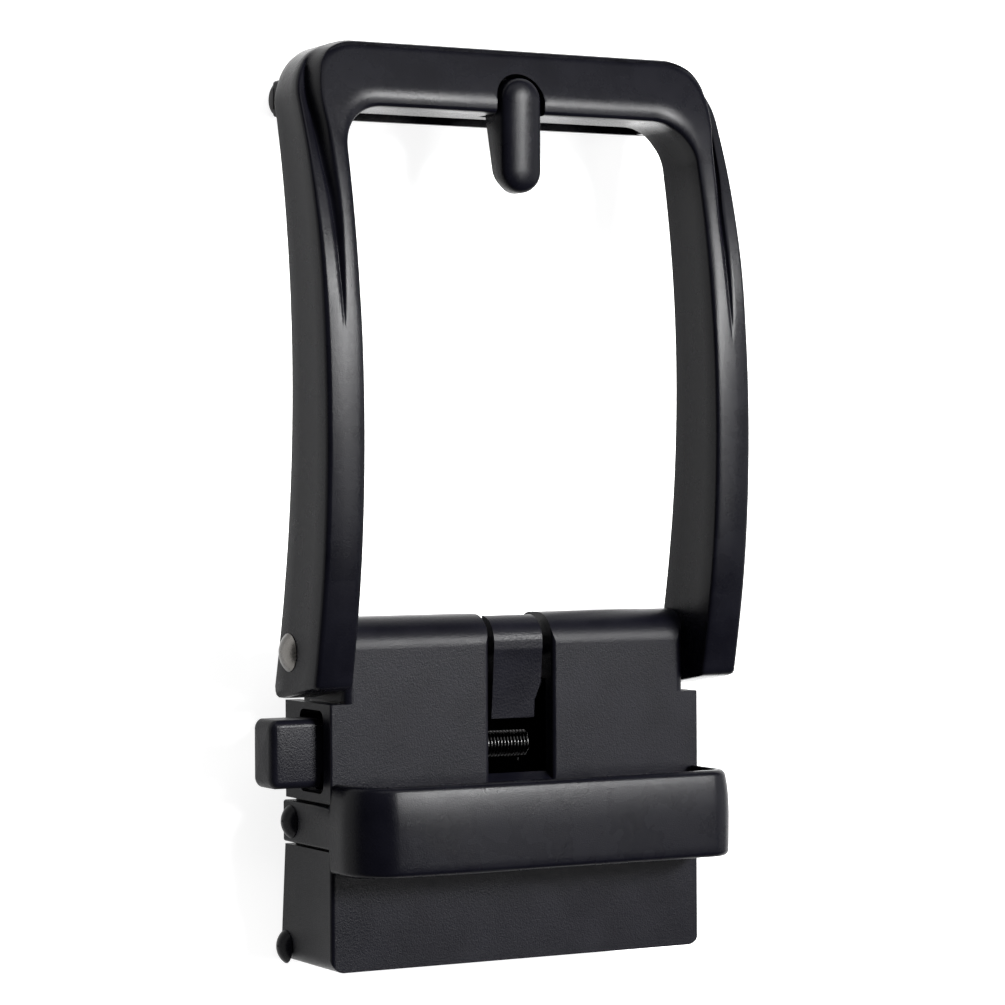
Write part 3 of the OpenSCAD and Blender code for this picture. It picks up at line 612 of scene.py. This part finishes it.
def keeper_section(wide):
    """One section as (across, out): rounded edges and, on the band, a crown that falls off."""
    on_band = wide > KEEPER_TAB
    r = KEEPER_BAND_R if on_band else KEEPER_TAB_R
    turns = [QUARTER * k / 6 for k in range(7)]
    section = [(-wide + r * (1 - math.cos(a)), -r * (1 - math.sin(a))) for a in turns]
    section += [(-wide + r + 2 * (wide - r) * k / 12, 0.0) for k in range(1, 12)]
    section += [(-y, out) for y, out in section[6::-1]]
    if on_band:
        crowned = []
        for y, out in section:
            crown = KEEPER_CROWN_TOP if y > 0 else KEEPER_CROWN_LOW
            crowned.append((y, out - crown * abs(y / wide) ** KEEPER_CROWN_POWER))
        section = crowned
    return section + [(wide, -KEEPER_THICK), (-wide, -KEEPER_THICK)]


def keeper_piece():
    """The bent band, with a tighter bend at its right than at its left."""
    right = keeper_half(KEEPER_BEND_RIGHT, 0.0)
    left = keeper_half(KEEPER_BEND_LEFT, KEEPER_TILT_LEFT)
    left = [(-x, z, -nx, nz, wide) for x, z, nx, nz, wide in left]
    rings = []
    for x, z, nx, nz, wide in right + left[-2::-1]:
        section = keeper_section(wide)
        rings.append([(x + nx * out, KEEPER_Y + y, z + nz * out) for y, out in section])
    make_piece("keeper_band", *loft(rings), COAT_SOFT, "housing", "coated_keeper", "keeper", 38)


# Spring

def tube(line, radius, sides):
    """Points and faces of a round wire along a line."""
    along_x, along_y = Vector((1, 0, 0)), Vector((0, 1, 0))
    mostly_x = 0.9
    rings = []
    for i, point in enumerate(line):
        ahead = Vector(line[min(i + 1, len(line) - 1)]) - Vector(line[max(i - 1, 0)])
        ahead.normalize()
        side = ahead.cross(along_x if abs(ahead.x) < mostly_x else along_y).normalized()
        up = ahead.cross(side)
        ring = []
        for k in range(sides):
            a = 2 * math.pi * k / sides
            ring.append(tuple(Vector(point) + radius * (math.cos(a) * side + math.sin(a) * up)))
        rings.append(ring)
    return loft(rings)


def spring_piece():
    """A close coil along X with a straight leg at each end."""
    wire, outer, pitch, turns, steps = 0.15, 1.3, 0.34, 21, 24
    mean = outer - wire
    centre_y, centre_z = HINGE_Y - 9, HINGE_Z - 0.3
    right_end = 2.1
    left_end = right_end - turns * pitch
    long_leg, short_leg = 4.9, 1.69
    line = [(left_end, centre_y + long_leg, centre_z - mean)]
    for i in range(turns * steps + 1):
        a = 2 * math.pi * i / steps
        x = left_end + pitch * i / steps
        line.append((x, centre_y - mean * math.sin(a), centre_z - mean * math.cos(a)))
    line.append((right_end, centre_y - short_leg, centre_z - mean))
    make_piece("spring_coil", *tube(line, wire, 8), WIRE, "lever", "spring_steel", "return_spring", 60)


# Lever

BUTTON_WALL = -19.13      # X at which the lever's own button is cut off and the softer one starts


def lever_piece():
    """The lever from the frame without its button."""
    lever = bpy.data.objects.new("lever_casting", nodes["release_lever"].data.copy())
    bpy.context.collection.objects.link(lever)
    bm = bmesh.new()
    bm.from_mesh(lever.data)
    weld, on_plane = 0.001 * MM, 0.0005 * MM
    bmesh.ops.remove_doubles(bm, verts=bm.verts, dist=weld)
    found = bmesh.ops.bisect_plane(bm, geom=bm.verts[:] + bm.edges[:] + bm.faces[:], dist=on_plane,
                                   plane_co=(BUTTON_WALL * MM, 0, 0), plane_no=(-1, 0, 0), clear_outer=True)
    rim = [part for part in found["geom_cut"] if isinstance(part, bmesh.types.BMEdge)]
    bmesh.ops.holes_fill(bm, edges=rim)
    bmesh.ops.recalc_face_normals(bm, faces=bm.faces)
    bm.to_mesh(lever.data)
    bm.free()
    lever.data.materials.clear()
    lever.data.materials.append(GRAINED)
    shade(lever, 40)
    soften(lever, 0.15)
    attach(lever, "lever")
    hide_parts("release_lever")


def rounded_ring(half_y, half_z, r):
    """A rectangle with rounded corners, as (y, z) about its middle."""
    ring = []
    for sign_y, sign_z, turn in ((1, 1, 0), (-1, 1, 1), (-1, -1, 2), (1, -1, 3)):
        for k in range(9):
            a = QUARTER * (turn + k / 8)
            ring.append((sign_y * (half_y - r) + r * math.cos(a), sign_z * (half_z - r) + r * math.sin(a)))
    return ring


def button_piece():
    """A softer button in the place of the lever's own, with rounded edges and an end that bows out in the
    middle.
    """
    vertices = nodes["release_lever"].data.vertices
    past_wall = 1
    corners = [v.co / MM for v in vertices if v.co.x < (BUTTON_WALL - past_wall) * MM]
    low = [min(c[i] for c in corners) for i in range(3)]
    high = [max(c[i] for c in corners) for i in range(3)]
    middle_y, middle_z = (low[1] + high[1]) / 2, (low[2] + high[2]) / 2
    half_y, half_z = (high[1] - low[1]) / 2, (high[2] - low[2]) / 2
    end_r, corner_r, smallest_r, bow = 0.75, 0.7, 0.15, 0.22
    after_wall, before_end, narrowing = 0.2, 0.6, 0.7

    xs = (BUTTON_WALL, BUTTON_WALL - after_wall, low[0] + end_r + before_end)
    stations = [(x, 0.0) for x in xs]
    for k in range(9):
        a = QUARTER * k / 8
        stations.append((low[0] + end_r * (1 - math.sin(a)), end_r * (1 - math.cos(a))))
    rings = []
    for x, inset in stations:
        share = clamp((low[0] + end_r - x) / end_r) ** 0.5
        r = max(smallest_r, corner_r - narrowing * inset)
        outline = rounded_ring(half_y - inset, half_z - inset, r)
        rings.append([(x + bow * share * (y / half_y) ** 2, middle_y + y, middle_z + z) for y, z in outline])

    cap = rings[-1]
    for k in (0.75, 0.5, 0.25):
        ring = []
        for x, y, z in cap:
            dy, dz = (y - middle_y) * k, (z - middle_z) * k
            ring.append((low[0] + bow * (dy / half_y) ** 2, middle_y + dy, middle_z + dz))
        rings.append(ring)
    make_piece("release_button", *loft(rings), GRAINED, "lever", "grained_black", angle=50)


frame_piece()
loop_piece()
prong_piece()
keeper_piece()
spring_piece()
lever_piece()
button_piece()

# Nodes that keep their own shape: (material, width of the softened edges).
LOOKS = {
    "housing": (COAT_FACE, 0.16),
    "strap_clamp": (COAT_FACE, 0.2),
    "hinge_pin": (PIN, 0.0),
    "clamp_pin": (COAT_RIVET, 0.0),
    "keeper_rivet_left": (COAT_RIVET, 0.0),
    "keeper_rivet_right": (COAT_RIVET, 0.0),
}
for name, (mat, edge) in LOOKS.items():
    for material_slot in nodes[name].material_slots:
        material_slot.material = mat
    if edge:
        soften(nodes[name], edge)


# Floor, lights and camera, with places and sizes in metres

FLOOR_HALF = 1.2
FLOOR_Z = -0.00005
FLOOR_GLOW, FLOOR_ROUGHNESS = 0.87, 0.7
FLOOR_BLOTCHES = 30        # noise scale per metre
WORLD_STRENGTH = 0.13
CENTRE = (0, 0.025, 0.008)
LIGHTS = [
    # name, place, size, watts
    ("key_strip", (0.238, 0.195, 0.54), (0.1, 0.2), 12.5),
    ("low_fill", (0.24, 0.0, 0.55), (0.1, 0.14), 1.2),
    ("top_bank", (0.0, 0.55, 0.5), (0.8, 0.3), 3.3),
    ("side_fill", (0.62, 0.05, 0.34), (0.4, 0.5), 2.0),
]


def floor_piece():
    """Pale paper that glows a little, so that it comes out as white as the backdrop."""
    corners = [(-FLOOR_HALF, -FLOOR_HALF, 0), (FLOOR_HALF, -FLOOR_HALF, 0),
               (FLOOR_HALF, FLOOR_HALF, 0), (-FLOOR_HALF, FLOOR_HALF, 0)]
    obj = new_object("floor", corners, [(0, 1, 2, 3)], scale=1)
    mat, tree, bsdf = new_material("floor_paper")
    tree.links.new(tint(tree, noise(tree, FLOOR_BLOTCHES, detail=3), PAPER), bsdf.inputs["Base Color"])
    bsdf.inputs["Roughness"].default_value = FLOOR_ROUGHNESS
    bsdf.inputs["Emission Color"].default_value = (1, 1, 1, 1)
    bsdf.inputs["Emission Strength"].default_value = FLOOR_GLOW
    obj.data.materials.append(mat)
    obj.location.z = FLOOR_Z


def area_light(name, place, size, watts):
    """A rectangular light that faces the middle of the part."""
    data = bpy.data.lights.new(name, "AREA")
    data.shape = "RECTANGLE"
    data.size, data.size_y = size
    data.energy = watts
    obj = bpy.data.objects.new(name, data)
    obj.location = place
    direction = Vector(CENTRE) - Vector(place)
    obj.rotation_euler = direction.to_track_quat("-Z", "Y").to_euler()
    bpy.context.collection.objects.link(obj)


floor_piece()
for light in LIGHTS:
    area_light(*light)

world = bpy.data.worlds.new("studio")
world.use_nodes = True
background = world.node_tree.nodes["Background"]
background.inputs["Color"].default_value = (1, 1, 1, 1)
background.inputs["Strength"].default_value = WORLD_STRENGTH
bpy.context.scene.world = world

# The camera that was fitted to the photo: its turns, the focal length in pixels of the picture's width,
# and in mm its sideways shift and its distance from the point of the face's plane that it looks at.
YAW, PITCH, ROLL = (math.radians(a) for a in (28.54, 0.34, 0.33))
FOCAL_PX, PICTURE_PX, SHIFT_X, DISTANCE = 3326.0, 1005, 1.44, 301.7
LOOK_Y = 25.75
SENSOR = 36.0
turn = Matrix.Rotation(ROLL, 3, "Z") @ Matrix.Rotation(PITCH, 3, "X") @ Matrix.Rotation(YAW, 3, "Y")
place = turn.transposed() @ Vector((-SHIFT_X, 0, DISTANCE)) + Vector((0, LOOK_Y, FACE_Z))
camera_data = bpy.data.cameras.new("camera")
camera_data.sensor_width = SENSOR
camera_data.lens = SENSOR * FOCAL_PX / PICTURE_PX
camera_data.clip_start = 0.01
camera = bpy.data.objects.new("camera", camera_data)
camera.matrix_world = Matrix.Translation(place * MM) @ turn.transposed().to_4x4()
bpy.context.collection.objects.link(camera)
bpy.context.scene.camera = camera
bpy.context.scene.view_settings.view_transform = "Standard"
